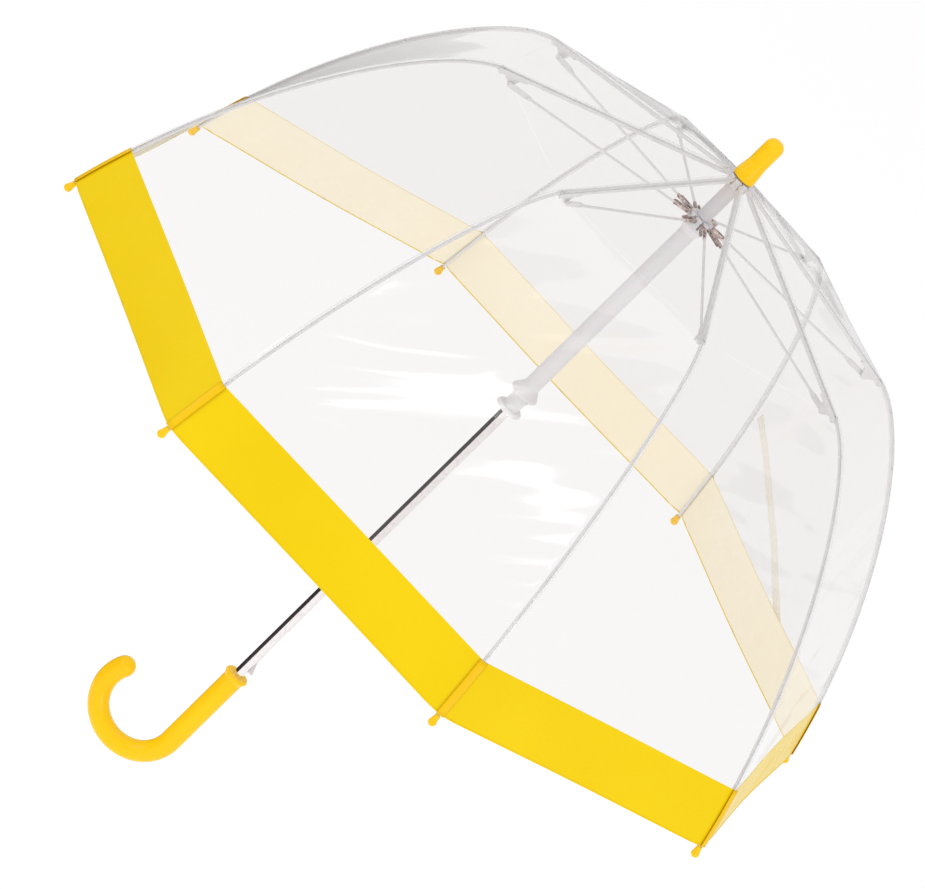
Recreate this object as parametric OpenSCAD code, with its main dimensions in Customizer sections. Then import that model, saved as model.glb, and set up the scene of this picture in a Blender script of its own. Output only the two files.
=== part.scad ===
// Child's dome umbrella: eight-rib stick umbrella with a clear canopy, a yellow border,
// a long finger-safe runner and a crook handle. It is drawn open.
// Z runs up the shaft to the ferrule. The origin is on the shaft's axis, where a hand grips
// the handle. X points away from the crook, through the middle of one canopy panel.

/* [Canopy] */
// Radius from the shaft's axis to the end of a rib
canopy_r = 350.5; // [300:0.5:380]
// Height of the rib ends above the grip
rim_z = 248; // [200:1:300]
// Rise of the canopy from the rib ends to its top
canopy_rise = 329; // [300:1:360]
// Radius at which the canopy stops being a flat cone and curves down
shoulder_r = 183; // [160:1:200]
// Drop of the canopy from its top to that radius
shoulder_drop = 52; // [45:1:60]
// How far the cone's direction carries on past the shoulder
shoulder_pull = 45; // [35:1:60]
// How far the rim's direction carries up from the rim
rim_pull = 150; // [120:1:170]
// Slope of the canopy at its rim, below level
rim_slope = 76; // [68:0.5:84]
// Thickness of the clear film and of the border
film_t = 0.5; // [0.3:0.1:0.8]
// Width of the yellow border, along the ribs
border_h = 47; // [35:1:70]
// Gap between the shaft and the edge of the film's hole
film_hole_clear = 0.6; // [0.4:0.05:1]
// Gap between neighbouring pieces of film
film_gap = 0.6; // [0.4:0.1:1.5]

/* [Ribs] */
// Width of the fluted inner rib
flute_w = 3.6; // [3:0.1:4]
// Height of the fluted inner rib
flute_h = 2.4; // [2:0.1:2.8]
// Wall of the fluted inner rib
flute_wall = 0.7; // [0.5:0.1:0.9]
// Radius of the wire of the outer rib
rib_wire_r = 1.2; // [1:0.05:1.4]
// Length of the joint piece between the inner and the outer rib
joint_len = 21; // [18:1:26]
// Width of the joint piece
joint_w = 4.2; // [4:0.1:4.4]
// Distance of the stretcher's pivot behind the rib's own pivot
lug_back = 10; // [9:0.5:12]
// Drop of the stretcher's pivot below the rib's own pivot
lug_drop = 7.3; // [6.5:0.1:9]
// Radius of the pivot pins in the ribs
rib_pin_r = 0.7; // [0.5:0.05:0.8]
// Length of the yellow cap on a rib's end
tip_len = 10; // [8:0.5:14]
// Radius of the ball on a rib's end
tip_ball_r = 3.1; // [2.6:0.1:3.6]
// Radius of the neck of that cap
tip_neck_r = 2.1; // [1.8:0.1:2.4]

/* [Stretchers] */
// Radius of the stretcher's wire
stretcher_wire_r = 1; // [0.8:0.05:1.2]
// Sideways offset of that wire from the rib's middle
stretcher_side = 3.6; // [3.5:0.05:4]
// Length of the flattened outer end
flat_len = 19; // [14:1:26]
// Height of the flattened outer end
flat_h = 4; // [3.4:0.1:4.6]
// Length of the dark clip at the inner end
clip_len = 17; // [14:1:22]
// Thickness of the clip and of the flattened end
plate_t = 1.2; // [1:0.1:1.3]

/* [Top] */
// Radius of the notched disc that holds the ribs
notch_r = 8.6; // [8.4:0.1:10]
// Height of that disc
notch_h = 7.4; // [6.5:0.1:9]
// Radius of the wire ring that the ribs turn on
notch_ring_r = 6.8; // [6.6:0.05:7]
// Depth of that ring below the canopy's top
notch_ring_drop = 5.6; // [5.2:0.1:6.2]
// Radius of the sleeve on the shaft below the notched disc
sleeve_r = 5.5; // [4.9:0.1:5.6]
// Length of the ferrule cap
ferrule_len = 35; // [30:1:45]
// Radius of the flared foot of the ferrule cap
ferrule_foot_r = 8.7; // [8.2:0.1:9.5]
// Radius of the ferrule cap's shank
ferrule_r = 7.3; // [6.5:0.1:8]
// Height over which the ferrule cap narrows from foot to shank
ferrule_taper = 12; // [8:0.5:14]
// Radius of the rounding at the ferrule cap's end
ferrule_round = 6.4; // [4:0.1:6.4]

/* [Shaft] */
// Outer radius of the shaft
shaft_r = 4; // [3.6:0.1:4.1]
// Wall of the shaft's tube
shaft_wall = 0.6; // [0.4:0.1:0.8]

/* [Runner] */
// Height of the crown above the open runner's top end
runner_drop = 44; // [42:1:46]
// Length of the runner
runner_len = 205; // [200:1:206]
// Outer radius of the runner's tube
runner_r = 6.6; // [6.2:0.1:7]
// Radius of the upper flange of the finger grip
flange_r = 11.3; // [10:0.1:13]
// Radius of the ring at the runner's lower end
foot_ring_r = 10.6; // [9.5:0.1:12]
// Thickness of that flange and of that ring
flange_h = 3.4; // [3:0.1:4.5]
// Height of the upper flange above the runner's lower end
flange_up = 18.2; // [17.5:0.1:22]
// Radius of the slotted head of the runner
head_r = 9.8; // [9.6:0.1:10]
// Height of that head
head_h = 9; // [8:0.1:12]
// Radius of the wire ring that the stretchers turn on
head_ring_r = 8; // [7.8:0.05:8.1]
// Depth of that ring below the runner's upper end
head_ring_drop = 2; // [1.9:0.1:2.1]
// Gap that is left above the handle's collar when the runner is at its lowest
closed_gap = 2; // [2:0.5:6]

/* [Catches] */
// Height of a catch from its pivot to its shoulder
catch_len = 17; // [15:0.5:19]
// Radius that a catch's shoulder reaches from the shaft's axis
catch_reach = 7.8; // [7.2:0.1:8.2]
// Thickness of a catch
catch_t = 1.4; // [1:0.1:1.6]
// Height of the runner's window above its lower end
window_up = 5; // [4:0.1:6]

/* [Handle] */
// Height of the handle's collar above the grip
collar_z = 33.5; // [30:0.5:33.5]
// Radius of the collar
collar_r = 9.7; // [9:0.1:11]
// Height of the collar
collar_h = 3.4; // [2.5:0.1:5]
// Radius of the handle's round section
handle_r = 8.2; // [7.5:0.1:9]
// Length of the handle's straight part
straight_len = 75.5; // [62:0.5:90]
// Radius of the crook, to the middle of its section
crook_r = 33; // [25:0.5:40]
// Angle that the crook turns through
crook_turn = 205; // [180:1:225]
// How far the rounded end of the crook is set in from its wall
crook_end_step = 0.1; // [0.05:0.05:0.5]
// Depth of the shaft in the handle
socket_depth = 58; // [30:1:60]

/* [Closing strap] */
// Width of the strap
strap_w = 9; // [6:0.5:14]
// Radius of the snap fastener
snap_r = 4.5; // [3.5:0.1:6]
// Height of the snap fastener
snap_h = 1.6; // [1.2:0.1:2.5]

/* [Clearances] */
// Gap between the film and what lies under it
film_clear = 0.4; // [0.3:0.05:0.6]
// Clearance round a piece that is pressed on to the shaft
press_clear = 0.02; // [0.01:0.01:0.05]
// Clearance round the shaft in the runner
runner_clear = 0.1; // [0.05:0.05:0.3]
// Clearance round a pin in its eye
pin_clear = 0.1; // [0.05:0.05:0.2]
// Clearance on each side of a plate in its slot
slot_clear = 0.3; // [0.2:0.05:0.35]

/* [Hidden] */
ribs = 8;
rib_step = 360 / ribs;
half_step = rib_step / 2;
$fn = 48;

// Canopy outline in the plane of a rib, as points of radius and height
top_z = rim_z + canopy_rise;
cone_slope = atan(shoulder_drop / shoulder_r);
shoulder = [shoulder_r, top_z - shoulder_drop];
shoulder_handle = shoulder + shoulder_pull * [cos(cone_slope), -sin(cone_slope)];
rim = [canopy_r, rim_z];
rim_handle = rim + rim_pull * [-cos(rim_slope), sin(rim_slope)];
function side_point(t) =
    pow(1 - t, 3) * shoulder + 3 * t * pow(1 - t, 2) * shoulder_handle
    + 3 * t * t * (1 - t) * rim_handle + pow(t, 3) * rim;
function side_way(t) =
    let (d = pow(1 - t, 2) * (shoulder_handle - shoulder)
        + 2 * t * (1 - t) * (rim_handle - shoulder_handle) + t * t * (rim - rim_handle))
    d / norm(d);
function out_of(d) = [-d[1], d[0]];
function side_under(t, depth) = side_point(t) - depth * out_of(side_way(t));
cone_way = [cos(cone_slope), -sin(cone_slope)];
function cone_point(r) = [r, top_z - r * tan(cone_slope)];
function cone_under(r, depth) = cone_point(r) - depth * out_of(cone_way);

// The place on the side curve that lies a given length back from the rib's end
step = 0.002;
function side_back(length, t = 1) =
    length <= 0 ? t : side_back(length - norm(side_point(t) - side_point(t - step)), t - step);
hem_t = side_back(tip_len);
border_t = side_back(tip_len + border_h);
side_run = norm(side_point(0) - side_point(step));
film_gap_t = film_gap / 2 / side_run * step;

// Rib line, pivots and slots
rib_depth = film_t + film_clear + rib_wire_r;
notch_pivot = [notch_ring_r, top_z - notch_ring_drop];
rib_pivot = side_under(0, rib_depth);
rib_len = norm(rib_pivot - notch_pivot);
rib_way = (rib_pivot - notch_pivot) / rib_len;
lug_pivot = rib_pivot - lug_back * rib_way - lug_drop * out_of(rib_way);
runner_top_z = top_z - runner_drop;
runner_z = runner_top_z - runner_len;
runner_travel = runner_z - collar_z - closed_gap;
head_pivot = [head_ring_r, runner_top_z - head_ring_drop];
stretcher_len = norm(lug_pivot - head_pivot);
ring_wire_r = 0.5;
eye_hole_r = ring_wire_r + pin_clear;
eye_r = 1.6;
slot_w = plate_t + 2 * slot_clear;
fork_tongue = 1.6;
fork_slot = fork_tongue + 2 * 0.2;
tongue_r = rib_wire_r + 0.1;
tongue_len = 4.6;
cheek_r = 2.2;
joint_top = rib_wire_r;
joint_bottom = 2.6;
lug_w = 2.4;
rivet_gap = 0.3;

// Catches and the runner's window
catch_back = 1.6;
catch_foot_r = 1.3;
catch_pin_r = 0.7;
bore_r = shaft_r + runner_clear;
catch_in_bore = catch_len * (bore_r - catch_foot_r) / (catch_reach - catch_foot_r);
catch_height = catch_len - catch_in_bore;
window_clear = 0.6;
window_h = catch_height + 2 * window_clear;
window_w = catch_t + 2 * 0.7;
upper_shoulder_z = runner_z + window_up + window_h - window_clear / 2;
lower_shoulder_z = runner_z + window_up + window_clear / 2 - runner_travel;
shaft_slot_w = catch_t + 0.8;

// Shaft and ferrule
ferrule_foot_z = top_z + 0.3;
ferrule_top_z = ferrule_foot_z + ferrule_len;
ferrule_wall = 5;
shaft_bottom_z = collar_z - socket_depth;
shaft_top_z = ferrule_top_z - ferrule_wall;
sleeve_gap = 0.6;
film_hole_r = shaft_r + film_hole_clear;

// Turns a piece drawn in the XZ plane to the place of rib n
module at_rib(n) {
    rotate([0, 0, half_step + rib_step * (n - 1)])
        children();
}

// Moves local X on to the line from p towards q, with local Z outwards from it
module on_line(p, q) {
    translate([p[0], 0, p[1]])
        rotate([0, -atan2(q[1] - p[1], q[0] - p[0]), 0])
            children();
}

// A plate lying in the local XZ plane, from y = y0 to y = y0 + t
module plate(t, y0) {
    translate([0, y0 + t, 0])
        rotate([90, 0, 0])
            linear_extrude(t)
                children();
}

// A cylinder along Y, from y = y0 to y = y0 + h
module cross_pin(r, h, y0) {
    translate([0, y0 + h, 0])
        rotate([90, 0, 0])
            cylinder(h = h, r = r);
}

module wire_ring(r, z, wire) {
    translate([0, 0, z])
        rotate_extrude()
            translate([r, 0])
                circle(r = wire);
}

module tube(r_out, r_in, z0, z1) {
    translate([0, 0, z0])
        difference() {
            cylinder(h = z1 - z0, r = r_out);
            translate([0, 0, -1])
                cylinder(h = z1 - z0 + 2, r = r_in);
        }
}

// ---- Shaft and what is fixed on it ----

module catch_slot(shoulder_z, up) {
    foot_z = shoulder_z - up * catch_len;
    low = min(shoulder_z, foot_z) - 2.2;
    translate([0, -shaft_slot_w / 2, low])
        cube([shaft_r + 1, shaft_slot_w, catch_len + 4.4]);
}

module catch_pin(shoulder_z, up) {
    translate([0, 0, shoulder_z - up * catch_len])
        cross_pin(catch_pin_r, 2 * shaft_r - shaft_wall, -shaft_r + shaft_wall / 2);
}

module shaft() {
    color([0.16, 0.14, 0.15]) {
        difference() {
            tube(shaft_r, shaft_r - shaft_wall, shaft_bottom_z, shaft_top_z);
            catch_slot(upper_shoulder_z, 1);
            catch_slot(lower_shoulder_z, -1);
        }
        catch_pin(upper_shoulder_z, 1);
        catch_pin(lower_shoulder_z, -1);
    }
}

// Sheet-metal catch: a ramp that ends in a flat shoulder; up is 1 or -1
module catch_blade(shoulder_z, up) {
    slope = atan((catch_reach - catch_foot_r) / catch_len);
    mirror([0, 0, up > 0 ? 0 : 1])
        translate([0, 0, up * shoulder_z - catch_len])
            difference() {
                union() {
                    cross_pin(catch_foot_r, catch_t, -catch_t / 2);
                    plate(catch_t, -catch_t / 2)
                        polygon([
                            [catch_foot_r * cos(slope), -catch_foot_r * sin(slope)],
                            [catch_reach, catch_len - 0.5],
                            [catch_reach - 0.5, catch_len],
                            [catch_back, catch_len],
                            [-catch_foot_r * cos(slope) * 0.9, catch_foot_r * 0.4]
                        ]);
                }
                cross_pin(catch_pin_r + pin_clear, catch_t + 2, -catch_t / 2 - 1);
            }
}

module upper_catch() {
    color([0.25, 0.25, 0.26])
        catch_blade(upper_shoulder_z, 1);
}

module lower_catch() {
    color([0.25, 0.25, 0.26])
        catch_blade(lower_shoulder_z, -1);
}

module ferrule_cap() {
    color([0.96, 0.78, 0.05])
        difference() {
            translate([0, 0, ferrule_foot_z])
                rotate_extrude()
                    union() {
                        polygon([
                            [0, 0],
                            [ferrule_foot_r, -ferrule_foot_r * tan(cone_slope)],
                            [ferrule_foot_r, 1],
                            [ferrule_r, ferrule_taper],
                            [ferrule_r, ferrule_len - ferrule_round],
                            [ferrule_r - ferrule_round, ferrule_len],
                            [0, ferrule_len]
                        ]);
                        intersection() {
                            translate([ferrule_r - ferrule_round, ferrule_len - ferrule_round])
                                circle(r = ferrule_round);
                            square([ferrule_r, ferrule_len]);
                        }
                    }
            translate([0, 0, ferrule_foot_z - 4])
                cylinder(h = shaft_top_z - ferrule_foot_z + 4 + press_clear, r = shaft_r + press_clear);
        }
}

module top_notch() {
    top = notch_pivot[1] + 2;
    color([0.9, 0.9, 0.9])
        difference() {
            tube(notch_r, shaft_r + press_clear, top - notch_h, top);
            wire_ring(notch_ring_r, notch_pivot[1], ring_wire_r + 0.05);
            for (n = [1:ribs])
                at_rib(n)
                    translate([notch_ring_r - eye_r - 0.3, -slot_w / 2, top - notch_h - 1])
                        cube([notch_r, slot_w, notch_h + 2]);
        }
}

module notch_wire() {
    color([0.5, 0.5, 0.52])
        wire_ring(notch_ring_r, notch_pivot[1], ring_wire_r);
}

module top_sleeve() {
    color([0.85, 0.85, 0.86])
        tube(
            sleeve_r,
            shaft_r + press_clear,
            runner_top_z + sleeve_gap,
            notch_pivot[1] + 2 - notch_h - press_clear
        );
}

module crook_handle() {
    bend_z = collar_z - straight_len;
    color([1, 0.84, 0.05])
        difference() {
            union() {
                translate([0, 0, bend_z])
                    cylinder(h = straight_len - 1, r = handle_r);
                translate([0, 0, collar_z - collar_h])
                    rotate_extrude()
                        polygon([
                            [0, 0],
                            [handle_r, -2],
                            [collar_r, collar_h * 0.35],
                            [collar_r, collar_h * 0.65],
                            [collar_r - 0.9, collar_h],
                            [0, collar_h]
                        ]);
                translate([-crook_r, 0, bend_z])
                    rotate([-90, 0, 0])
                        rotate_extrude(angle = crook_turn)
                            translate([crook_r, 0])
                                circle(r = handle_r);
                translate([-crook_r, 0, bend_z])
                    rotate([0, crook_turn, 0])
                        translate([crook_r, 0, 0])
                            sphere(r = handle_r - crook_end_step);
            }
            translate([0, 0, shaft_bottom_z - press_clear])
                cylinder(h = socket_depth + 1, r = shaft_r + press_clear);
        }
}

// ---- Runner ----

module runner() {
    grip_top = runner_z + flange_up;
    color([0.88, 0.87, 0.88])
        difference() {
            union() {
                translate([0, 0, runner_z])
                    cylinder(h = runner_len - head_h, r = runner_r);
                translate([0, 0, runner_z])
                    rotate_extrude()
                        polygon([
                            [bore_r, 0],
                            [foot_ring_r - 0.8, 0],
                            [foot_ring_r, 0.8],
                            [foot_ring_r, flange_h - 0.8],
                            [foot_ring_r - 0.8, flange_h],
                            [bore_r, flange_h]
                        ]);
                translate([0, 0, grip_top - flange_h / 2])
                    rotate_extrude()
                        polygon([
                            [bore_r, 0],
                            [flange_r - 1, 0],
                            [flange_r, 1],
                            [flange_r, flange_h - 1],
                            [runner_r, flange_h + 6],
                            [bore_r, flange_h + 6]
                        ]);
                translate([0, 0, runner_top_z - head_h])
                    cylinder(h = head_h, r = head_r);
                translate([0, 0, runner_top_z - head_h - 6])
                    cylinder(h = 6, r1 = runner_r, r2 = head_r);
            }
            translate([0, 0, runner_z - 1])
                cylinder(h = runner_len + 2, r = bore_r);
            wire_ring(head_ring_r, head_pivot[1], ring_wire_r + 0.05);
            for (n = [1:ribs])
                at_rib(n)
                    translate([head_ring_r - eye_r - 0.3, -slot_w / 2, runner_top_z - head_h + 2])
                        cube([head_r, slot_w, head_h]);
            translate([0, -window_w / 2, runner_z + window_up])
                cube([foot_ring_r, window_w, window_h]);
        }
}

module runner_wire() {
    color([0.5, 0.5, 0.52])
        wire_ring(head_ring_r, head_pivot[1], ring_wire_r);
}

// ---- Ribs ----

// Fluted inner rib with its joint piece, in the plane of rib n
module inner_rib(n) {
    joint_start = rib_len - joint_len;
    flute_start = 8;
    color([0.88, 0.87, 0.87])
        at_rib(n)
            on_line(notch_pivot, rib_pivot) {
                difference() {
                    union() {
                        cross_pin(eye_r, plate_t, -plate_t / 2);
                        plate(plate_t, -plate_t / 2)
                            polygon([[0, -1.1], [flute_start + 6, -1.1], [flute_start + 6, 1.1], [0, 1.1]]);
                    }
                    cross_pin(eye_hole_r, plate_t + 2, -plate_t / 2 - 1);
                }
                difference() {
                    translate([flute_start, -flute_w / 2, -flute_h / 2])
                        cube([joint_start - flute_start + 5, flute_w, flute_h]);
                    translate([flute_start + 6, -flute_w / 2 + flute_wall, -flute_h / 2 - 1])
                        cube([joint_start - flute_start - 8, flute_w - 2 * flute_wall, flute_h + 1 - flute_wall]);
                }
                joint_piece(joint_start);
            }
}

module joint_piece(start) {
    difference() {
        union() {
            translate([start, -joint_w / 2, -joint_bottom])
                cube([joint_len, joint_w, joint_bottom + joint_top]);
            translate([rib_len, 0, joint_top - cheek_r])
                cross_pin(cheek_r, joint_w, -joint_w / 2);
            plate(lug_w, -lug_w / 2)
                polygon([
                    [rib_len - lug_back - 6, -joint_bottom],
                    [rib_len - lug_back - 2, -lug_drop],
                    [rib_len - lug_back + 2, -lug_drop],
                    [rib_len - lug_back + 6, -joint_bottom]
                ]);
            translate([rib_len - lug_back, 0, -lug_drop])
                cross_pin(2, lug_w, -lug_w / 2);
            translate([rib_len - lug_back, 0, -lug_drop])
                cross_pin(1.2, stretcher_side - plate_t - rivet_gap - 0.1, 0);
        }
        translate([rib_len - tongue_r - 1, -fork_slot / 2, -joint_bottom - 1])
            cube([joint_len, fork_slot, joint_bottom + joint_top + 2]);
    }
    translate([rib_len, 0, 0])
        cross_pin(rib_pin_r, joint_w, -joint_w / 2);
}

// Points of the outer rib's wire: rings of a round section along the side curve
wire_sides = 12;
wire_rings = 26;
wire_start = [for (t = [0:0.002:1]) if (norm(side_under(t, rib_depth) - rib_pivot) >= tongue_len - 1) t][0];
wire_end = side_back(tip_len - 4);
function wire_points() = [
    for (i = [0:wire_rings])
        let (
            t = wire_start + (wire_end - wire_start) * i / wire_rings,
            c = side_under(t, rib_depth),
            o = out_of(side_way(t))
        )
        for (k = [0:wire_sides - 1])
            let (
                a = 360 * k / wire_sides,
                across = -rib_wire_r * sin(a),
                up = rib_wire_r * cos(a)
            )
            [c[0] + up * o[0], across, c[1] + up * o[1]]
];
function wire_faces() = concat(
    [[for (k = [0:wire_sides - 1]) k]],
    [
        for (i = [0:wire_rings - 1])
            for (k = [0:wire_sides - 1])
                let (a = i * wire_sides, b = a + wire_sides, m = (k + 1) % wire_sides)
                [a + k, b + k, b + m, a + m]
    ],
    [[for (k = [0:wire_sides - 1]) wire_rings * wire_sides + wire_sides - 1 - k]]
);

module outer_rib(n) {
    first = side_under(wire_start, rib_depth);
    at_rib(n) {
        color([0.88, 0.87, 0.87]) {
            polyhedron(points = wire_points(), faces = wire_faces());
            on_line(rib_pivot, first)
                difference() {
                    union() {
                        cross_pin(tongue_r, fork_tongue, -fork_tongue / 2);
                        plate(fork_tongue, -fork_tongue / 2)
                            polygon([[0, -1], [tongue_len + 1, -1], [tongue_len + 1, 1], [0, 1]]);
                    }
                    cross_pin(rib_pin_r + pin_clear, fork_tongue + 2, -fork_tongue / 2 - 1);
                }
        }
        color([1, 0.84, 0.05])
            rib_tip();
    }
}

// Yellow cap on the rib's end: a neck that widens to a ball
module rib_tip() {
    start = side_under(hem_t, rib_depth);
    end = side_under(1, rib_depth);
    on_line(start, end)
        rotate([0, 90, 0]) {
            translate([0, 0, 0.8])
                cylinder(h = tip_len - tip_ball_r - 0.8, r1 = tip_neck_r, r2 = tip_ball_r * 0.97);
            translate([0, 0, tip_len - tip_ball_r])
                sphere(r = tip_ball_r);
        }
}

// ---- Stretchers ----

// Stretcher: dark hairpin clip at the runner, wire, flattened end beside the rib's lug
module stretcher(n) {
    side_y = stretcher_side - plate_t / 2;
    flat_y = stretcher_side - stretcher_wire_r;
    web_x = 3.1;
    at_rib(n)
        on_line(head_pivot, lug_pivot) {
            color([0.2, 0.15, 0.13])
                difference() {
                    union() {
                        cross_pin(eye_r, plate_t, -plate_t / 2);
                        plate(plate_t, -plate_t / 2)
                            polygon([[0, -1.3], [clip_len - 1, -1.3], [clip_len, 0], [clip_len - 1, 1.3], [0, 1.3]]);
                        translate([web_x, -plate_t / 2, -1.3])
                            cube([3, side_y + plate_t * 1.5, 2.6]);
                        plate(plate_t, side_y)
                            polygon([[web_x, -1.3], [clip_len, -1.3], [clip_len, 1.3], [web_x, 1.3]]);
                    }
                    cross_pin(eye_hole_r, plate_t + 2, -plate_t / 2 - 1);
                }
            color([0.85, 0.85, 0.85]) {
                translate([web_x + 3, stretcher_side, 0])
                    rotate([0, 90, 0])
                        cylinder(h = stretcher_len - flat_len + 4 - web_x - 3, r = stretcher_wire_r);
                plate(plate_t, flat_y)
                    polygon([
                        [stretcher_len - flat_len, -stretcher_wire_r],
                        [stretcher_len - flat_len + 5, -flat_h / 2],
                        [stretcher_len, -flat_h / 2],
                        [stretcher_len, flat_h / 2],
                        [stretcher_len - flat_len + 5, flat_h / 2],
                        [stretcher_len - flat_len, stretcher_wire_r]
                    ]);
                translate([stretcher_len, 0, 0]) {
                    cross_pin(flat_h / 2, plate_t, flat_y);
                    cross_pin(1.3, 0.9, flat_y + plate_t);
                }
            }
        }
}

// ---- Canopy film ----

// One section of a strip centred on a rib, at an outer and an inner point of its outline
function strip_section(outer, inner) =
    let (
        wide = outer[0] * sin(half_step) - film_gap / 2,
        narrow = inner[0] * sin(half_step) - film_gap / 2,
        s = sin(half_step),
        c = cos(half_step)
    )
    [
        [outer[0] - wide * s, wide * c, outer[1]],
        [outer[0], 0, outer[1]],
        [outer[0] - wide * s, -wide * c, outer[1]],
        [inner[0] - narrow * s, -narrow * c, inner[1]],
        [inner[0], 0, inner[1]],
        [inner[0] - narrow * s, narrow * c, inner[1]]
    ];
function strip_faces(sections) = concat(
    [[0, 1, 4, 5], [1, 2, 3, 4]],
    [
        for (i = [0:sections - 2])
            for (k = [0:5])
                [6 * i + k, 6 * i + 6 + k, 6 * i + 6 + (k + 1) % 6, 6 * i + (k + 1) % 6]
    ],
    [
        [for (k = [5, 4, 1, 0]) 6 * (sections - 1) + k],
        [for (k = [4, 3, 2, 1]) 6 * (sections - 1) + k]
    ]
);

module film_strip(outline) {
    polyhedron(
        points = [for (pair = outline) each strip_section(pair[0], pair[1])],
        faces = strip_faces(len(outline))
    );
}

module film_top(n) {
    edge = shoulder_r - film_gap / 2;
    color([0.95, 0.95, 0.96, 0.35])
        at_rib(n)
            film_strip([for (r = [film_hole_r, edge]) [cone_point(r), cone_under(r, film_t)]]);
}

module side_strip(t0, t1, sections) {
    film_strip([
        for (i = [0:sections - 1])
            let (t = t0 + (t1 - t0) * i / (sections - 1))
            [side_point(t), side_under(t, film_t)]
    ]);
}

module film_side(n) {
    color([0.95, 0.95, 0.96, 0.35])
        at_rib(n)
            side_strip(film_gap_t, border_t - film_gap_t, 23);
}

module border(n) {
    color([0.97, 0.85, 0.05])
        at_rib(n)
            side_strip(border_t + film_gap_t, hem_t, 5);
}

// ---- Closing strap ----

// The strap hangs over the panel between ribs 2 and 1, and is sewn to the seam at rib 2
strap_rib = 2;
strap_top_t = 0.69;
strap_end_t = 0.91;
strap_end_across = 0.66;
strap_points = 8;
strap_lift = 0.8;
function on_rib(n, p) = [
    p[0] * cos(half_step + rib_step * (n - 1)),
    p[0] * sin(half_step + rib_step * (n - 1)),
    p[1]
];
function on_panel(t, across) =
    (1 - across) * on_rib(strap_rib, side_point(t)) + across * on_rib(strap_rib - 1, side_point(t));
function unit(v) = v / norm(v);
function panel_out(t) =
    let (o = out_of(side_way(t)), a = half_step + rib_step * (strap_rib - 1.5))
    unit([o[0] * cos(a), o[0] * sin(a), o[1]]);
function strap_centre(s) = on_panel(
    strap_top_t + (strap_end_t - strap_top_t) * s,
    0.03 + strap_end_across * s
);
module tie_strap() {
    sections = [
        for (i = [0:strap_points])
            let (
                s = i / strap_points,
                t = strap_top_t + (strap_end_t - strap_top_t) * s,
                c = strap_centre(s),
                way = unit(strap_centre(s + 0.01) - strap_centre(s - 0.01)),
                out = panel_out(t),
                side = unit(cross(out, way)),
                low = c + strap_lift * out,
                high = low + film_t * out
            )
            [low - side * strap_w / 2, low + side * strap_w / 2, high + side * strap_w / 2, high - side * strap_w / 2]
    ];
    color([0.98, 0.95, 0.75])
        polyhedron(
            points = [for (q = sections) each q],
            faces = concat(
                [[0, 1, 2, 3]],
                [
                    for (i = [0:strap_points - 1])
                        for (k = [0:3])
                            let (a = 4 * i + k, b = 4 * i + (k + 1) % 4)
                            each [[a, a + 4, b + 4], [a, b + 4, b]]
                ],
                [[for (k = [3, 2, 1, 0]) 4 * strap_points + k]]
            )
        );
}

// Stud of the snap fastener, on the border at the strap's rib
module strap_snap() {
    t = (border_t + hem_t) / 2;
    p = side_point(t);
    way = side_way(t);
    color([0.6, 0.6, 0.62])
        at_rib(strap_rib)
            translate([p[0], 0, p[1]])
                rotate([0, atan2(out_of(way)[0], out_of(way)[1]), 0])
                    translate([0, 0, 0.3]) {
                        cylinder(h = snap_h / 2, r = snap_r);
                        cylinder(h = snap_h, r = snap_r / 2);
                    }
}

shaft();
crook_handle();
ferrule_cap();
top_notch();
notch_wire();
top_sleeve();
runner();
runner_wire();
upper_catch();
lower_catch();
tie_strap();
strap_snap();
for (n = [1:ribs]) {
    inner_rib(n);
    outer_rib(n);
    stretcher(n);
    film_top(n);
    film_side(n);
    border(n);
}
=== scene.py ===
import math

import bmesh
import bpy
from mathutils import Matrix, Vector


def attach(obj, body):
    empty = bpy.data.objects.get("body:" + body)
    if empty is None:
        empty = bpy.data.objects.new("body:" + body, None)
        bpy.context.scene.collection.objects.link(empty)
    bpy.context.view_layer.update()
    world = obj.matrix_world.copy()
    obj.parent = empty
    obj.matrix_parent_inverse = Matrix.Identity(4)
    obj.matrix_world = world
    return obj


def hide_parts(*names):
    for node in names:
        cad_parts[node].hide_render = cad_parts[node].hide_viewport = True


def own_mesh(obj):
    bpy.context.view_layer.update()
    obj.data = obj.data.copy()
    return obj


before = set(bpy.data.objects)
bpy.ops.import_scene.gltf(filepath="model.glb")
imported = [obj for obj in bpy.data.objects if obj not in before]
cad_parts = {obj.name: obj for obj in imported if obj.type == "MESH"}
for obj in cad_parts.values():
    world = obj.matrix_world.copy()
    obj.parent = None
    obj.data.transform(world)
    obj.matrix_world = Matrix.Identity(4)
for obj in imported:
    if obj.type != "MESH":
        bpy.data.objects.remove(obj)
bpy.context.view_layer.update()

# ---------------------------------------------------------------- sizes, in metres

MM = 0.001
RIBS = 8
STEP = 2 * math.pi / RIBS
HALF = STEP / 2
TOP_Z = 0.577
SHOULDER_R = 0.183
SHOULDER_DROP = 0.052
SHOULDER_PULL = 0.045
RIM_R = 0.3505
RIM_Z = 0.248
RIM_PULL = 0.150
RIM_SLOPE = math.radians(76)
FILM_HOLE_R = 0.0046
TIP_LEN = 0.010
BORDER_H = 0.047
RIB_DEPTH = 0.0021
WIRE_R = 0.0012
BALL_R = 0.0031
NECK_R = 0.0021
TOP_SAG = 0.0008  # how far a top panel dips in the middle
SIDE_SAG = 0.0022  # how far a side panel dips in the middle at the rim
HEM_R = 0.0006
SEAM_W = 0.0042
BORDER_SEAM_W = 0.0064
THREAD_R = 0.0002
THREAD_TURNS_AT = (0.16, 0.34, 0.52, 0.70, 0.86)
STRAP_W = 0.010
STRAP_FROM = 0.69  # where the strap starts on the side curve
STRAP_RUN = 0.22
HEAD_RING_R = 0.008
CLIP_LEN = 0.017
STRAP_RIB = 2

CONE = math.atan(SHOULDER_DROP / SHOULDER_R)


# ---------------------------------------------------------------- canopy outline

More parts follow.
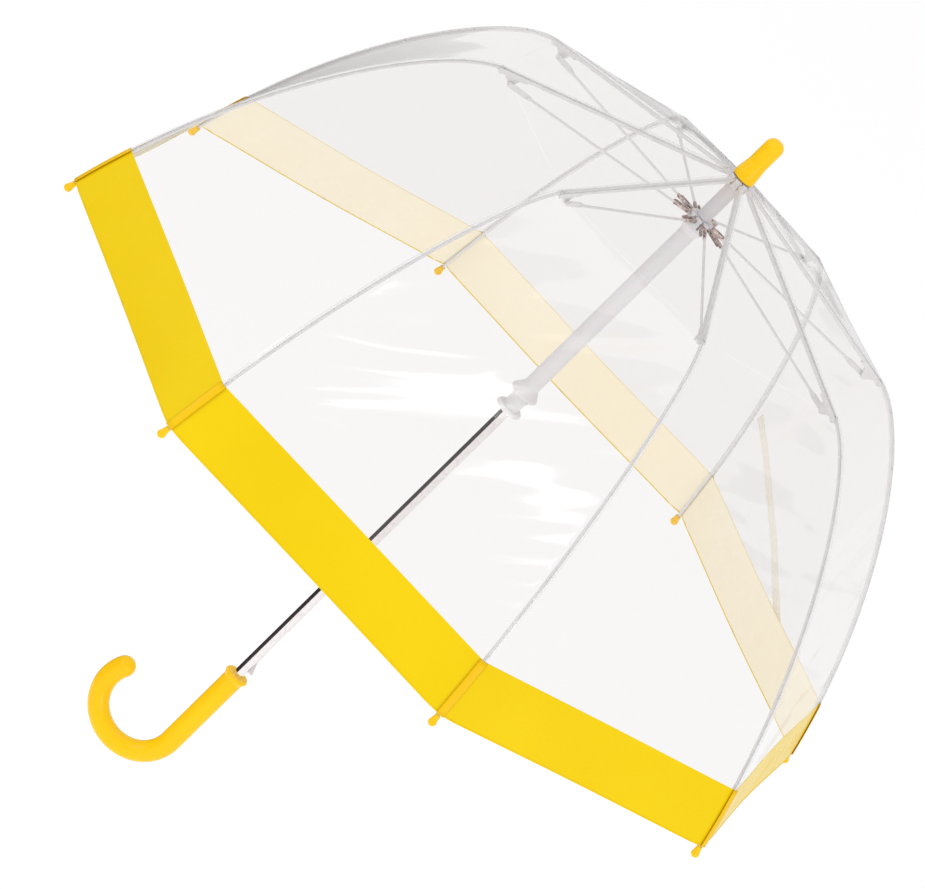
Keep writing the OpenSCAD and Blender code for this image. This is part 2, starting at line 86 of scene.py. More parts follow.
def vec(r, z):
    return Vector((r, z))


P0 = vec(SHOULDER_R, TOP_Z - SHOULDER_DROP)
P1 = P0 + SHOULDER_PULL * vec(math.cos(CONE), -math.sin(CONE))
P3 = vec(RIM_R, RIM_Z)
P2 = P3 + RIM_PULL * vec(-math.cos(RIM_SLOPE), math.sin(RIM_SLOPE))


def side(t):
    return (1 - t) ** 3 * P0 + 3 * t * (1 - t) ** 2 * P1 + 3 * t * t * (1 - t) * P2 + t ** 3 * P3


def side_way(t):
    d = (1 - t) ** 2 * (P1 - P0) + 2 * t * (1 - t) * (P2 - P1) + t * t * (P3 - P2)
    return d.normalized()


def outward(d):
    return vec(-d.y, d.x)


def under(t, depth):
    return side(t) - depth * outward(side_way(t))


def back_from_rim(length):
    """The place on the side curve that lies a given length back from the rim."""
    t = 1.0
    while length > 0:
        length -= (side(t) - side(t - 0.0005)).length
        t -= 0.0005
    return t


HEM_T = back_from_rim(TIP_LEN)
BORDER_T = back_from_rim(TIP_LEN + BORDER_H)


def cone(s):
    """A point on the flat top, s from 0 at the hole to 1 at the shoulder, and its direction."""
    r = FILM_HOLE_R + (SHOULDER_R - FILM_HOLE_R) * s
    return vec(r, TOP_Z - r * math.tan(CONE)), vec(math.cos(CONE), -math.sin(CONE))


def azimuth(n):
    return HALF + STEP * (n - 1)


def spoke(n):
    """The turn that takes a piece drawn in the XZ plane to the place of rib n."""
    return Matrix.Rotation(azimuth(n), 4, "Z")


# ---------------------------------------------------------------- mesh helpers

def new_object(name, verts, faces, mats=(), face_mats=None, smooth=True):
    mesh = bpy.data.meshes.new(name)
    mesh.from_pydata([tuple(v) for v in verts], [], faces)
    for m in mats:
        mesh.materials.append(m)
    if face_mats:
        for poly, k in zip(mesh.polygons, face_mats):
            poly.material_index = k
    for poly in mesh.polygons:
        poly.use_smooth = smooth
    mesh.update()
    obj = bpy.data.objects.new(name, mesh)
    bpy.context.scene.collection.objects.link(obj)
    return obj


def loft(rings, closed_ring=True, caps=True):
    """Faces of a surface through rings of equal length."""
    n = len(rings[0])
    verts = [p for ring in rings for p in ring]
    faces = []
    span = n if closed_ring else n - 1
    for i in range(len(rings) - 1):
        for k in range(span):
            a, b = i * n + k, i * n + (k + 1) % n
            faces.append((a, b, b + n, a + n))
    if caps and closed_ring:
        faces.append(tuple(range(n - 1, -1, -1)))
        faces.append(tuple((len(rings) - 1) * n + k for k in range(n)))
    return verts, faces


def lathe(name, profile, sides, mat):
    """A turned piece on Z from a list of (radius, height); it closes where the radius is 0."""
    verts, faces, rows = [], [], []
    for r, z in profile:
        if r <= 1e-9:
            rows.append([len(verts)])
            verts.append((0, 0, z))
        else:
            rows.append([len(verts) + k for k in range(sides)])
            verts += [
                (r * math.cos(2 * math.pi * k / sides), r * math.sin(2 * math.pi * k / sides), z)
                for k in range(sides)
            ]
    for low, high in zip(rows, rows[1:]):
        for k in range(sides):
            m = (k + 1) % sides
            if len(low) == 1:
                faces.append((low[0], high[m], high[k]))
            elif len(high) == 1:
                faces.append((low[k], low[m], high[0]))
            else:
                faces.append((low[k], low[m], high[m], high[k]))
    return new_object(name, verts, faces, [mat])


# ---------------------------------------------------------------- materials

class Nodes:
    """A material built up from nodes; it starts as a Principled shader."""

    def __init__(self, name, color, rough, **sockets):
        self.mat = bpy.data.materials.new(name)
        self.mat.use_nodes = True
        self.tree = self.mat.node_tree
        self.bsdf = self.tree.nodes["Principled BSDF"]
        self.out = self.tree.nodes["Material Output"]
        self.bsdf.inputs["Base Color"].default_value = (*color, 1)
        self.bsdf.inputs["Roughness"].default_value = rough
        for key, value in sockets.items():
            self.bsdf.inputs[key.replace("_", " ")].default_value = value
        self.coords = self.tree.nodes.new("ShaderNodeTexCoord")

    def node(self, kind, **values):
        n = self.tree.nodes.new("ShaderNode" + kind)
        for key, value in values.items():
            if hasattr(n, key):
                setattr(n, key, value)
            else:
                n.inputs[key.replace("_", " ")].default_value = value
        return n

    def link(self, a, b):
        self.tree.links.new(a, b)

    def place(self, scale=(1, 1, 1), turn=(0, 0, 0)):
        """Object coordinates, scaled, or turned and then scaled."""
        m = self.node("Mapping", vector_type="TEXTURE" if any(turn) else "POINT")
        m.inputs["Scale"].default_value = [1 / v for v in scale] if any(turn) else scale
        m.inputs["Rotation"].default_value = turn
        self.link(self.coords.outputs["Object"], m.inputs["Vector"])
        return m.outputs["Vector"]

    def noise(self, scale, detail=3, stretch=(1, 1, 1), rough=0.5, turn=(0, 0, 0)):
        n = self.node("TexNoise", Scale=scale, Detail=detail, Roughness=rough)
        self.link(self.place(stretch, turn=turn), n.inputs["Vector"])
        return n.outputs["Fac"]

    def ramp(self, fac, stops, interpolation="LINEAR"):
        r = self.node("ValToRGB")
        r.color_ramp.interpolation = interpolation
        for e, (pos, value) in zip(r.color_ramp.elements, stops[:2]):
            e.position = pos
            e.color = value if isinstance(value, tuple) else (value, value, value, 1)
        for pos, value in stops[2:]:
            e = r.color_ramp.elements.new(pos)
            e.color = value if isinstance(value, tuple) else (value, value, value, 1)
        self.link(fac, r.inputs["Fac"])
        return r.outputs["Color"]

    def mix(self, fac, a, b):
        m = self.node("Mix", data_type="RGBA")
        if hasattr(fac, "is_output"):
            self.link(fac, m.inputs["Factor"])
        else:
            m.inputs["Factor"].default_value = fac
        for value, socket in ((a, m.inputs[6]), (b, m.inputs[7])):
            if hasattr(value, "is_output"):
                self.link(value, socket)
            else:
                socket.default_value = (*value, 1)
        return m.outputs[2]

    def math(self, op, a, b=None):
        m = self.node("Math", operation=op)
        for value, socket in ((a, m.inputs[0]), (b, m.inputs[1])):
            if hasattr(value, "is_output"):
                self.link(value, socket)
            elif value is not None:
                socket.default_value = value
        return m.outputs[0]

    def xyz(self):
        s = self.node("SeparateXYZ")
        self.link(self.coords.outputs["Object"], s.inputs[0])
        return s.outputs

    def bump(self, height, strength, distance, over=None):
        b = self.node("Bump", Strength=strength, Distance=distance)
        self.link(height, b.inputs["Height"])
        if over is not None:
            self.link(over, b.inputs["Normal"])
        return b.outputs["Normal"]

    def color(self, socket):
        self.link(socket, self.bsdf.inputs["Base Color"])

    def rough(self, socket):
        self.link(socket, self.bsdf.inputs["Roughness"])

    def normal(self, socket):
        self.link(socket, self.bsdf.inputs["Normal"])


def moulded_yellow():
    """Glossy moulded plastic: faint flow marks, fine orange peel and light scuffs."""
    m = Nodes("moulded_yellow", (0.95, 0.56, 0.001), 0.3, IOR=1.49, Specular_IOR_Level=0.22,
              Subsurface_Weight=0.12, Subsurface_Scale=0.004)
    m.bsdf.inputs["Subsurface Radius"].default_value = (1.0, 0.6, 0.15)
    flow = m.noise(22, 3, (1, 1, 0.35))
    m.color(m.mix(m.ramp(flow, [(0.3, 0.0), (0.7, 1.0)]), (0.90, 0.52, 0.001), (0.95, 0.585, 0.002)))
    m.rough(m.ramp(m.noise(90, 4), [(0.35, 0.2), (0.75, 0.32)]))
    m.normal(m.bump(m.noise(420, 2), 0.12, 0.0004))
    return m.mat


def border_yellow(name, front, back):
    """Coloured film: soft cloudiness, faint draw lines and light rumpling."""
    m = Nodes(name, front, 0.3, IOR=1.46, Specular_IOR_Level=0.14)
    cloud = m.noise(9, 4)
    m.color(m.mix(m.ramp(cloud, [(0.3, 0.0), (0.7, 1.0)]), front, back))
    m.rough(m.ramp(m.noise(40, 3), [(0.3, 0.22), (0.75, 0.36)]))
    creases = m.bump(m.noise(14, 3, (1, 1, 0.5)), 0.25, 0.004)
    m.normal(m.bump(m.noise(260, 3, (1, 1, 0.15)), 0.1, 0.0004, over=creases))
    return m.mat


def clear_film():
    """Clear film: mostly seen through, greyer edge-on, with soft rumples that catch the light."""
    m = Nodes("clear_film", (0.90, 0.89, 0.89), 0.3, IOR=1.45)
    facing = m.node("LayerWeight", Blend=0.5)
    grain = (0, math.radians(-40), 0)
    rumple = m.bump(m.noise(9, 1, (0.5, 1, 3.6), 0.4, grain), 0.8, 0.0095)
    fine = m.bump(m.noise(40, 2, (0.6, 1, 2.5), 0.4, grain), 0.12, 0.0012, over=rumple)
    m.normal(fine)
    clear = m.node("BsdfTransparent")
    tint = m.ramp(facing.outputs["Facing"], [
        (0.0, (0.920, 0.908, 0.904, 1)),
        (0.70, (0.938, 0.927, 0.924, 1)),
        (0.90, (0.945, 0.933, 0.933, 1)),
        (1.0, (0.82, 0.805, 0.815, 1)),
    ])
    m.link(tint, clear.inputs["Color"])
    haze = m.node("MixShader")
    milky = m.ramp(facing.outputs["Facing"], [(0.0, 0.02), (0.75, 0.04), (1.0, 0.2)])
    m.link(milky, haze.inputs["Fac"])
    m.link(clear.outputs[0], haze.inputs[1])
    m.link(m.bsdf.outputs[0], haze.inputs[2])
    gloss = m.node("BsdfGlossy", Roughness=0.11)
    gloss.inputs["Color"].default_value = (1, 1, 1, 1)
    m.link(fine, gloss.inputs["Normal"])
    skin = m.node("MixShader")
    shine = m.ramp(facing.outputs["Facing"], [(0.0, 0.045), (0.6, 0.055), (0.85, 0.12), (1.0, 0.30)])
    m.link(shine, skin.inputs["Fac"])
    m.link(haze.outputs[0], skin.inputs[1])
    m.link(gloss.outputs[0], skin.inputs[2])
    m.link(skin.outputs[0], m.out.inputs["Surface"])
    return m.mat


def seam_film():
    """The doubled film along a rib: milky, with the fine cross marks of the weld."""
    m = Nodes("seam_film", (0.90, 0.89, 0.90), 0.35, IOR=1.45, Alpha=0.28, Specular_IOR_Level=0.2)
    m.color(m.mix(m.noise(60, 3), (0.74, 0.73, 0.74), (0.84, 0.83, 0.84)))
    m.normal(m.bump(m.noise(500, 2), 0.06, 0.0002))
    return m.mat


def painted(name, color, dark, rough=0.32):
    """White-coated steel: slightly uneven coat and small dull specks."""
    m = Nodes(name, color, rough, IOR=1.5, Coat_Weight=0.2, Coat_Roughness=0.15)
    m.color(m.mix(m.ramp(m.noise(140, 4), [(0.35, 0.0), (0.8, 1.0)]), color, dark))
    m.rough(m.ramp(m.noise(220, 3), [(0.3, rough - 0.08), (0.8, rough + 0.14)]))
    m.normal(m.bump(m.noise(900, 2), 0.05, 0.0001))
    return m.mat


def stretcher_metal():
    """White wire that is left bare and dark at the clip by the runner."""
    m = Nodes("stretcher_metal", (0.83, 0.82, 0.82), 0.34, IOR=1.5)
    x, y, z = m.xyz()[0:3]
    away = m.math("SQRT", m.math("ADD", m.math("MULTIPLY", x, x), m.math("MULTIPLY", y, y)))
    bare = m.math("LESS_THAN", away, HEAD_RING_R + CLIP_LEN + 0.0006)
    white = m.mix(m.ramp(m.noise(140, 4), [(0.35, 0.0), (0.8, 1.0)]), (0.76, 0.75, 0.75), (0.66, 0.65, 0.65))
    steel = m.mix(m.ramp(m.noise(420, 4), [(0.4, 0.0), (0.6, 1.0)]), (0.22, 0.12, 0.11), (0.74, 0.62, 0.58))
    m.color(m.mix(bare, white, steel))
    m.link(m.math("MULTIPLY", bare, 0.85), m.bsdf.inputs["Metallic"])
    m.normal(m.bump(m.noise(900, 2), 0.15, 0.0003))
    return m.mat


def runner_plastic(name, color, dark):
    """Pale moulded plastic with faint lengthwise flow lines."""
    m = Nodes(name, color, 0.42, IOR=1.48, Subsurface_Weight=0.15, Subsurface_Scale=0.003)
    m.color(m.mix(m.ramp(m.noise(30, 4, (1, 1, 0.12)), [(0.3, 0.0), (0.75, 1.0)]), color, dark))
    m.rough(m.ramp(m.noise(80, 3), [(0.3, 0.36), (0.8, 0.52)]))
    m.normal(m.bump(m.noise(500, 3, (1, 1, 0.2)), 0.18, 0.0004))
    return m.mat


def polished_shaft():
    """Polished tube with fine lengthwise polishing marks and a little tarnish."""
    m = Nodes("polished_shaft", (0.80, 0.76, 0.76), 0.12, Metallic=1.0)
    spots = m.ramp(m.noise(700, 4, (1, 1, 0.5)), [(0.45, 0.0), (0.75, 1.0)])
    m.color(m.mix(spots, (0.88, 0.84, 0.84), (0.74, 0.67, 0.66)))
    m.rough(m.ramp(m.noise(400, 4, (1, 1, 0.03)), [(0.3, 0.10), (0.8, 0.20)]))
    m.normal(m.bump(m.noise(900, 2, (1, 1, 0.02)), 0.05, 0.0001))
    return m.mat


def bare_steel(name, color, dark, rough=0.35):
    m = Nodes(name, color, rough, Metallic=0.9)
    m.color(m.mix(m.noise(500, 4), color, dark))
    m.rough(m.ramp(m.noise(700, 3), [(0.3, rough - 0.1), (0.8, rough + 0.15)]))
    m.normal(m.bump(m.noise(1200, 2), 0.2, 0.0002))
    return m.mat


def strap_film():
    """Closing strap: doubled film, pale yellow, half clear, with welded edges."""
    m = Nodes("strap_film", (0.97, 0.86, 0.50), 0.3, IOR=1.46, Alpha=0.3)
    m.color(m.mix(m.noise(40, 3), (0.94, 0.84, 0.60), (0.97, 0.91, 0.76)))
    m.normal(m.bump(m.noise(120, 3, (1, 1, 0.4)), 0.2, 0.001))
    return m.mat


YELLOW = moulded_yellow()
BORDER_OUT = border_yellow("border_outer", (0.81, 0.565, 0.001), (0.85, 0.605, 0.002))
BORDER_IN = border_yellow("border_inner", (0.93, 0.84, 0.63), (0.95, 0.88, 0.71))
BORDER_SEAM = border_yellow("border_seam", (0.82, 0.49, 0.002), (0.87, 0.55, 0.003))
FILM = clear_film()
SEAM = seam_film()
RIB_WHITE = painted("rib_white", (0.76, 0.75, 0.75), (0.68, 0.67, 0.67))
STRETCHER = stretcher_metal()
RUNNER = runner_plastic("runner_plastic", (0.76, 0.75, 0.77), (0.70, 0.69, 0.71))
SLEEVE = runner_plastic("sleeve_plastic", (0.66, 0.65, 0.67), (0.60, 0.59, 0.61))
SHAFT = polished_shaft()
WIRE = bare_steel("ring_wire", (0.30, 0.22, 0.20), (0.16, 0.10, 0.09))
CATCH = bare_steel("catch_steel", (0.72, 0.69, 0.68), (0.56, 0.53, 0.52), 0.3)
SNAP = bare_steel("snap_metal", (0.62, 0.62, 0.64), (0.45, 0.45, 0.47), 0.25)
STRAP = strap_film()


# ---------------------------------------------------------------- canopy pieces

def across(point, u, sag, way):
    """A point on a panel: u from -1 to 1 across one strip, 0 on the rib and 1 in mid panel."""
    r, z = point
    half = r * math.sin(HALF)
    a = abs(u)
    x = r - half * a * math.sin(HALF)
    y = half * u * math.cos(HALF)
    dip = sag * (0.5 - 0.5 * math.cos(math.pi * a))
    level = dip * -way.y
    aside = math.copysign(level, u) * math.sin(HALF)
    return Vector((x - level * math.cos(HALF), y - aside, z - dip * way.x))


def strip_rows(stations, columns, offset, sag_of):
    """Rows of points from mid panel on one side of the rib to mid panel on the other."""
    rows = []
    for point, way in stations:
        n = outward(way)
        p = point + n * offset
        sag = sag_of(point, way)
        row = []
        for k in range(columns + 1):
            u = -1 + 2 * k / columns
            row.append(across(p, u, sag, way))
        rows.append(row)
    return rows


def panel_sag(amount):
    return lambda point, way: amount * (point.x / RIM_R) ** 1.2


def strip_area(stations):
    """Flat area of a strip: the sum of its rows, each as wide as the chords between mid panels."""
    total = 0
    for (a, _), (b, _) in zip(stations, stations[1:]):
        total += (b - a).length * (a.x + b.x) * math.sin(HALF)
    return total


def stations_side(t0, t1, count):
    places = [t0 + (t1 - t0) * i / count for i in range(count + 1)]
    return [(side(t), side_way(t)) for t in places]


def stations_top(count):
    return [cone(i / count) for i in range(count + 1)]


def sheet(name, stations, columns, sag, mat, n, body, node):
    rows = strip_rows(stations, columns, 0.0, panel_sag(sag))
    verts, faces = loft(rows, closed_ring=False)
    obj = new_object(name, [spoke(n) @ v for v in verts], faces, [mat])
    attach(obj, body)
    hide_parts(node)
    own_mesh(obj)
    return obj


def border_piece(n):
    """The yellow border: a thin sheet with a pale inner face and a rolled hem."""
    thick = 0.45 * MM
    stations = stations_side(BORDER_T, HEM_T, 14)
    columns = 48
    outer = strip_rows(stations, columns, 0.05 * MM, panel_sag(SIDE_SAG))
    inner = strip_rows(stations, columns, 0.05 * MM - thick, panel_sag(SIDE_SAG))
    # small puckers where the hem is gathered on to the rib's tip
    for rows in (outer, inner):
        for i, row in enumerate(rows):
            down = i / (len(rows) - 1)
            for k, p in enumerate(row):
                u = -1 + 2 * k / columns
                near = math.exp(-(abs(u) / 0.16) ** 2) * down ** 3
                wave = math.sin(u * 60) * 0.35 * MM * near
                r = Vector((p.x, p.y, 0)).normalized()
                row[k] = p + r * wave
                row[k].z += 0.9 * MM * math.exp(-(abs(u) / 0.05) ** 2) * down ** 4
    rings = [o + i[::-1] for o, i in zip(outer, inner)]
    verts, faces = loft(rings)
    face_mats = []
    count = len(rings[0])
    for f in faces[:-2]:
        k = f[0] % count
        face_mats.append(0 if k < columns or k >= count - 1 else 1)
    face_mats += [0, 0]
    verts = [spoke(n) @ v for v in verts]
    obj = new_object(f"border_{n}_sheet", verts, faces, [BORDER_OUT, BORDER_IN], face_mats)
    hard_edges(obj, 50)
    return obj, strip_area(stations)


def hard_edges(obj, degrees):
    """Keeps shading crisp across edges sharper than the angle."""
    mesh = obj.data
    bm = bmesh.new()
    bm.from_mesh(mesh)
    bm.normal_update()
    for e in bm.edges:
        if len(e.link_faces) == 2 and e.calc_face_angle(0) > math.radians(degrees):
            e.smooth = False
    bm.to_mesh(mesh)
    bm.free()
    mesh.update()


def ribbon(name, n, path, width, height, mat, sides=10):
    """A low rounded strip that follows a path of (point, outward normal) in the rib's plane."""
    rings = []
    for p, o in path:
        ring = []
        for k in range(sides):
            a = 2 * math.pi * k / sides
            y = width / 2 * math.cos(a)
            h = height / 2 * math.sin(a)
            ring.append(Vector((p.x + o.x * h, y, p.y + o.y * h)))
        rings.append(ring)
    verts, faces = loft(rings)
    return new_object(name, [spoke(n) @ v for v in verts], faces, [mat])


def hem_roll(n):
    """The rolled edge along the border's hem on both sides of the rib."""
    p, way = side(HEM_T), side_way(HEM_T)
    rows = strip_rows([(p, way)], 40, -0.1 * MM, panel_sag(SIDE_SAG))[0]
    sides = 8
    rings = []
    for k, c in enumerate(rows):
        u = -1 + 2 * k / 40
        lift = 0.9 * MM * math.exp(-(abs(u) / 0.05) ** 2)
        ring = []
        for s in range(sides):
            a = 2 * math.pi * s / sides
            o = outward(way)
            ring.append(Vector((
                c.x + HEM_R * (o.x * math.cos(a) + way.x * math.sin(a)),
                c.y,
                c.z + lift + HEM_R * (o.y * math.cos(a) + way.y * math.sin(a)),
            )))
        rings.append(ring)
    verts, faces = loft(rings)
    return new_object(f"hem_roll_{n}", [spoke(n) @ v for v in verts], faces, [BORDER_OUT])


def outer_wire(n):
    """The rib's wire, flattened to an eye at its inner end, with the true curve of the rib."""
    fork = under(0, RIB_DEPTH)
    start_way = side_way(0.0)
    eye_r = 1.9 * MM
    rings = []
    sides = 16
    stations = []
    for i in range(7):
        s = -eye_r + i * 1.1 * MM
        stations.append((fork + start_way * s, start_way, s))
    for i in range(1, 61):
        t = HEM_T_END * i / 60
        p = under(t, RIB_DEPTH)
        d = (p - fork).length
        if d > 6 * MM:
            stations.append((p, side_way(t), d))
    for p, way, s in stations:
        flat = max(0.0, min(1.0, (5.2 * MM - s) / (1.6 * MM)))
        wide = WIRE_R * (1 - flat) + 0.8 * MM * flat
        if s < 0:
            high = eye_r * math.sqrt(max(0.02, 1 - (s / (1.95 * MM)) ** 2))
        elif s < eye_r:
            high = eye_r - s * 0.2
        else:
            high = WIRE_R * (1 - flat) + 1.45 * MM * flat
        o = outward(way)
        ring = []
        for k in range(sides):
            a = 2 * math.pi * k / sides
            y, h = wide * math.cos(a), high * math.sin(a)
            if flat > 0.5:
                y = max(-wide, min(wide, y * 1.35))
            ring.append(Vector((p.x + o.x * h, y, p.y + o.y * h)))
        rings.append(ring)
    verts, faces = loft(rings)
    return new_object(f"rib_wire_{n}", [spoke(n) @ v for v in verts], faces, [RIB_WHITE])


HEM_T_END = back_from_rim(TIP_LEN - 4 * MM)


def rib_tip(n):
    """Yellow cap: a neck with a small lip that widens to a ball."""
    profile = [
        (0, 0.7 * MM),
        (NECK_R * 0.7, 0.7 * MM),
        (NECK_R, 0.85 * MM),
        (NECK_R + 0.12 * MM, 1.2 * MM),
        (NECK_R, 1.6 * MM),
    ]
    for i in range(1, 7):
        f = i / 6
        rise = TIP_LEN - BALL_R - 2.4 * MM
        profile.append((NECK_R + (BALL_R * 0.93 - NECK_R) * f ** 1.4, 1.6 * MM + rise * f))
    for i in range(1, 13):
        a = math.radians(-21 + 111 * i / 12)
        profile.append((BALL_R * math.cos(a) if i < 12 else 0, TIP_LEN - BALL_R + BALL_R * math.sin(a)))
    obj = lathe(f"rib_tip_{n}", profile, 32, YELLOW)
    start = under(HEM_T, RIB_DEPTH)
    way = (under(1, RIB_DEPTH) - start).normalized()
    z = Vector((way.x, 0, way.y))
    y = Vector((0, 1, 0))
    x = y.cross(z)
    turn = Matrix((x, y, z)).transposed().to_4x4()
    obj.data.transform(spoke(n) @ Matrix.Translation((start.x, 0, start.y)) @ turn)
    return obj


def rib_thread(n):
    """Thread that ties the film to the rib, in a few places down its length."""
    rings_all, faces_all = [], []
    for t in THREAD_TURNS_AT:
        c = under(t, RIB_DEPTH - 0.3 * MM)
        way, o = side_way(t), outward(side_way(t))
        for turn in (-1, 0, 1):
            base = len(rings_all)
            around, cross = 20, 6
            for i in range(around):
                a = 2 * math.pi * i / around
                radial = Vector((o.x * math.cos(a), math.sin(a), o.y * math.cos(a)))
                centre = Vector((c.x, 0, c.y)) + Vector((way.x, 0, way.y)) * turn * 0.36 * MM
                for k in range(cross):
                    b = 2 * math.pi * k / cross
                    rings_all.append(
                        centre + radial * (WIRE_R + 0.22 * MM + THREAD_R * math.cos(b))
                        + Vector((way.x, 0, way.y)) * THREAD_R * math.sin(b)
                    )
            for i in range(around):
                for k in range(cross):
                    a0, a1 = base + i * cross, base + ((i + 1) % around) * cross
                    m = (k + 1) % cross
                    faces_all.append((a0 + k, a0 + m, a1 + m, a1 + k))
    return new_object(f"rib_thread_{n}", [spoke(n) @ v for v in rings_all], faces_all, [SEAM_THREAD])


SEAM_THREAD = painted("white_thread", (0.90, 0.90, 0.90), (0.80, 0.80, 0.80), 0.6)


def build_canopy():
    for n in range(1, RIBS + 1):
        inner_body, outer_body = f"inner_rib_{n}", f"outer_rib_{n}"
        # welded seam over the rib, above and below the shoulder
        path_top = [(p + outward(w) * 0.1 * MM, outward(w)) for p, w in stations_top(20)[1:]]
        seam_top = ribbon(f"seam_top_{n}", n, path_top, SEAM_W, 0.5 * MM, SEAM)
        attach(seam_top, inner_body)
        path_side = [(p + outward(w) * 0.1 * MM, outward(w)) for p, w in stations_side(0.0, BORDER_T, 40)]
        seam_side = ribbon(f"seam_side_{n}", n, path_side, SEAM_W, 0.5 * MM, SEAM)
        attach(seam_side, outer_body)
        sheet(f"film_top_{n}_sheet", stations_top(24), 32, TOP_SAG, FILM, n, inner_body, f"film_top_{n}")
        sheet(f"film_side_{n}_sheet", stations_side(0.0, BORDER_T, 48), 40, SIDE_SAG, FILM, n, outer_body,
              f"film_side_{n}")
        border, area = border_piece(n)
        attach(border, outer_body)
        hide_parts(f"border_{n}")
        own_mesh(border)
        roll = hem_roll(n)
        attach(roll, outer_body)
        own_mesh(roll)
        stations = stations_side(BORDER_T, HEM_T, 10)
        path_border = [(p + outward(w) * 0.12 * MM, outward(w)) for p, w in stations]
        seam_border = ribbon(f"border_seam_{n}", n, path_border, BORDER_SEAM_W, 0.7 * MM, BORDER_SEAM)
        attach(seam_border, outer_body)
        wire, tip, thread = outer_wire(n), rib_tip(n), rib_thread(n)
        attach(wire, outer_body)
        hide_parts(f"outer_rib_{n}")
        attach(tip, outer_body)
        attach(thread, outer_body)


# ---------------------------------------------------------------- strap and snap

def on_rib(n, p):
    a = azimuth(n)
    return Vector((p.x * math.cos(a), p.x * math.sin(a), p.y))


def strap_centre(s):
    """The strap's middle line, s from 0 at its sewn end to 1 at its free end."""
    t = STRAP_FROM + STRAP_RUN * s
    f = 0.03 + 0.66 * s
    bow = 0.035 * math.sin(math.pi * s)
    return (1 - f - bow) * on_rib(STRAP_RIB, side(t)) + (f + bow) * on_rib(STRAP_RIB - 1, side(t))


def panel_out(t):
    o = outward(side_way(t))
    a = azimuth(STRAP_RIB) - HALF
    return Vector((o.x * math.cos(a), o.x * math.sin(a), o.y)).normalized()


def build_strap():
    rings = []
    count = 40
    for i in range(count + 1):
        s = i / count
        t = STRAP_FROM + STRAP_RUN * s
        c = strap_centre(s)
        way = (strap_centre(min(1, s + 0.01)) - strap_centre(max(0, s - 0.01))).normalized()
        o = panel_out(t)
        across_way = o.cross(way).normalized()
        end = 1 - max(0.0, (s - 0.93) / 0.07) ** 3 * 0.65
        lift = 0.9 * MM + 0.5 * MM * math.sin(9 * s) ** 2
        ring = []
        for k in range(16):
            a = 2 * math.pi * k / 16
            y = STRAP_W / 2 * end * math.copysign(abs(math.cos(a)) ** 0.5, math.cos(a))
            h = 0.25 * MM * math.sin(a)
            ring.append(c + across_way * y + o * (lift + h))
        rings.append(ring)
    verts, faces = loft(rings)
    strap = new_object("closing_strap", verts, faces, [STRAP])
    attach(strap, f"outer_rib_{STRAP_RIB}")
    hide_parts("tie_strap")
    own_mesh(strap)
    t = (BORDER_T + HEM_T) / 2
    p, way = side(t), side_way(t)
    o = outward(way)
    profile = [(0, 0.3), (4.2, 0.3), (4.5, 0.5), (4.5, 0.9), (4.1, 1.15), (2.9, 1.2), (2.5, 1.0), (2.1, 1.0),
               (2.0, 1.6), (1.6, 1.9), (0.9, 2.0), (0, 2.0)]
    stud = lathe("snap_stud", [(r * MM, z * MM) for r, z in profile], 40, SNAP)
    turn = Matrix.Rotation(math.atan2(o.x, o.y), 4, "Y")
    stud.data.transform(spoke(STRAP_RIB) @ Matrix.Translation((p.x, 0, p.y)) @ turn)
    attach(stud, f"outer_rib_{STRAP_RIB}")
    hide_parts("strap_snap")


# ---------------------------------------------------------------- finish of the CAD pieces

def finish_node(name, *mats):
    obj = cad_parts[name]
    obj.data.materials.clear()
    for m in mats:
        obj.data.materials.append(m)


def finish_frame():
    finish_node("shaft", SHAFT)
    finish_node("crook_handle", YELLOW)
    finish_node("ferrule_cap", YELLOW)
    finish_node("top_notch", RUNNER)
    finish_node("notch_wire", WIRE)
    finish_node("top_sleeve", SLEEVE)
    finish_node("runner", RUNNER)
    finish_node("runner_wire", WIRE)
    finish_node("upper_catch", CATCH)
    finish_node("lower_catch", CATCH)
    for n in range(1, RIBS + 1):
        finish_node(f"inner_rib_{n}", RIB_WHITE)
        finish_node(f"stretcher_{n}", STRETCHER)


# ---------------------------------------------------------------- stage, lights, camera

def build_stage():
    floor_mat = Nodes("studio_floor", (0.93, 0.93, 0.93), 0.8)
    floor_mat.color(floor_mat.mix(floor_mat.noise(0.6, 2), (0.925, 0.925, 0.925), (0.935, 0.935, 0.935)))
    floor_mat.bsdf.inputs["Emission Color"].default_value = (1, 1, 1, 1)
    floor_mat.bsdf.inputs["Emission Strength"].default_value = 0.20
    size, z = 14.0, -1.3
    corners = [(-size, -size, z), (size, -size, z), (size, size, z), (-size, size, z)]
    floor = new_object("studio_floor", corners, [(0, 1, 2, 3)], [floor_mat.mat])
    world = bpy.data.worlds.new("studio")
    world.use_nodes = True
    background = world.node_tree.nodes["Background"]
    background.inputs["Color"].default_value = (1, 1, 1, 1)
    background.inputs["Strength"].default_value = 0.84
    bpy.context.scene.world = world
    bpy.context.scene.view_settings.view_transform = "Standard"


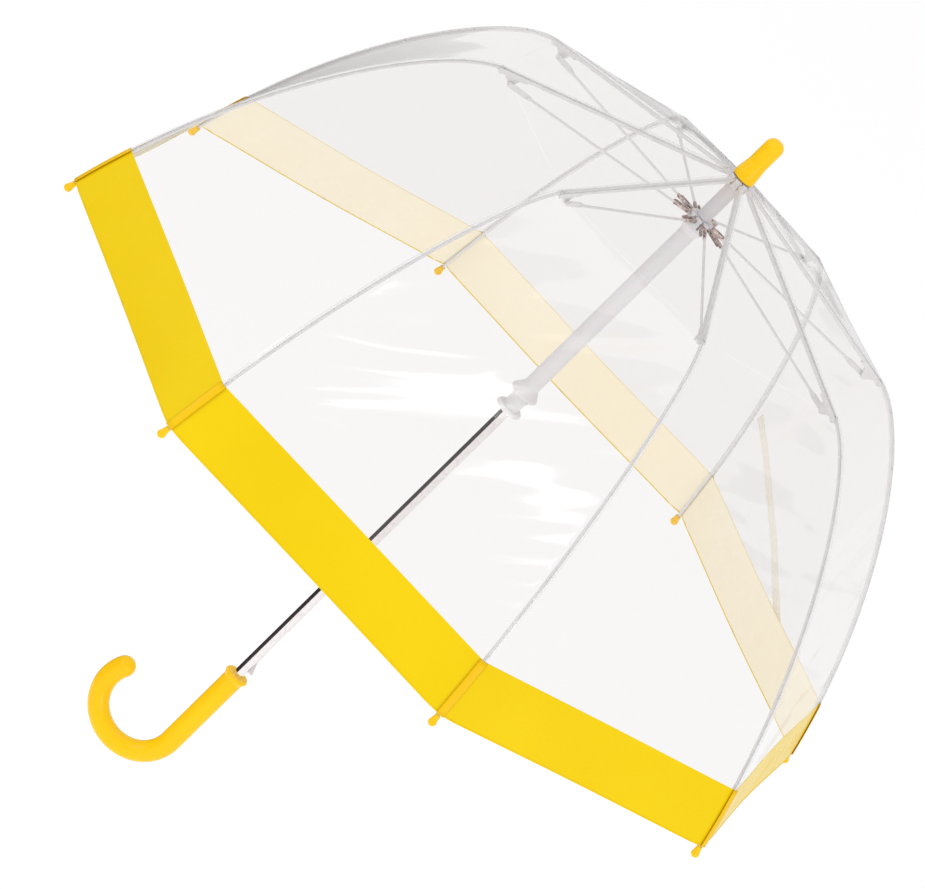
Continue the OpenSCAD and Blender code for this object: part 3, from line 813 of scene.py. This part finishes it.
def area_light(name, location, target, size, power):
    data = bpy.data.lights.new(name, "AREA")
    data.shape = "RECTANGLE"
    data.size, data.size_y = size
    data.energy = power
    obj = bpy.data.objects.new(name, data)
    bpy.context.scene.collection.objects.link(obj)
    obj.location = location
    aim = (Vector(target) - Vector(location)).normalized()
    obj.rotation_euler = aim.to_track_quat("-Z", "Y").to_euler()
    return obj


def build_lights():
    area_light("key_softbox", (2.4, -2.2, 0.7), (0, 0, 0.2), (1.4, 1.6), 20)
    area_light("streak_softbox", (0.08, -3.65, 2.3), (0.08, -0.26, 0.40), (0.36, 0.7), 4.5)
    area_light("left_fill", (-3.2, -2.2, 1.2), (0, 0, 0.3), (1.6, 1.6), 18)
    area_light("top_fill", (-0.6, -0.4, 3.6), (0, 0, 0.3), (2.4, 2.4), 16)


def build_card():
    """A dark card beside and behind the set, which the shaft mirrors and the camera doesn't see."""
    card_mat = Nodes("dark_card", (0.02, 0.012, 0.012), 0.9)
    card_mat.color(card_mat.mix(card_mat.noise(3, 2), (0.018, 0.011, 0.011), (0.026, 0.016, 0.016)))
    foot, head = -1.28, 0.2
    line = [(-1.7, -2.6), (-1.9, 0.4), (-1.1, 1.9), (0.1, 2.3)]
    verts = [(x, y, foot) for x, y in line] + [(x, y, head) for x, y in line]
    faces = [(k, k + 1, k + 5, k + 4) for k in range(3)]
    card = new_object("dark_card", verts, faces, [card_mat.mat])
    card.visible_camera = False
    card.visible_diffuse = False
    card.visible_shadow = False
    card.visible_transmission = False


def build_camera():
    data = bpy.data.cameras.new("camera")
    data.sensor_width = 36.0
    data.sensor_fit = "HORIZONTAL"
    data.lens = 232.23
    data.clip_end = 100
    obj = bpy.data.objects.new("camera", data)
    bpy.context.scene.collection.objects.link(obj)
    right = Vector((0.685216, 0.285829, 0.669911)).normalized()
    ahead = Vector((-0.055938, 0.937714, -0.342875)).normalized()
    up = right.cross(ahead).normalized()
    turn = Matrix((right, up, -ahead)).transposed().to_4x4()
    obj.matrix_world = Matrix.Translation((0.235638, -4.030647, 1.758468)) @ turn
    bpy.context.scene.camera = obj


build_canopy()
build_strap()
finish_frame()
build_stage()
build_lights()
build_card()
build_camera()
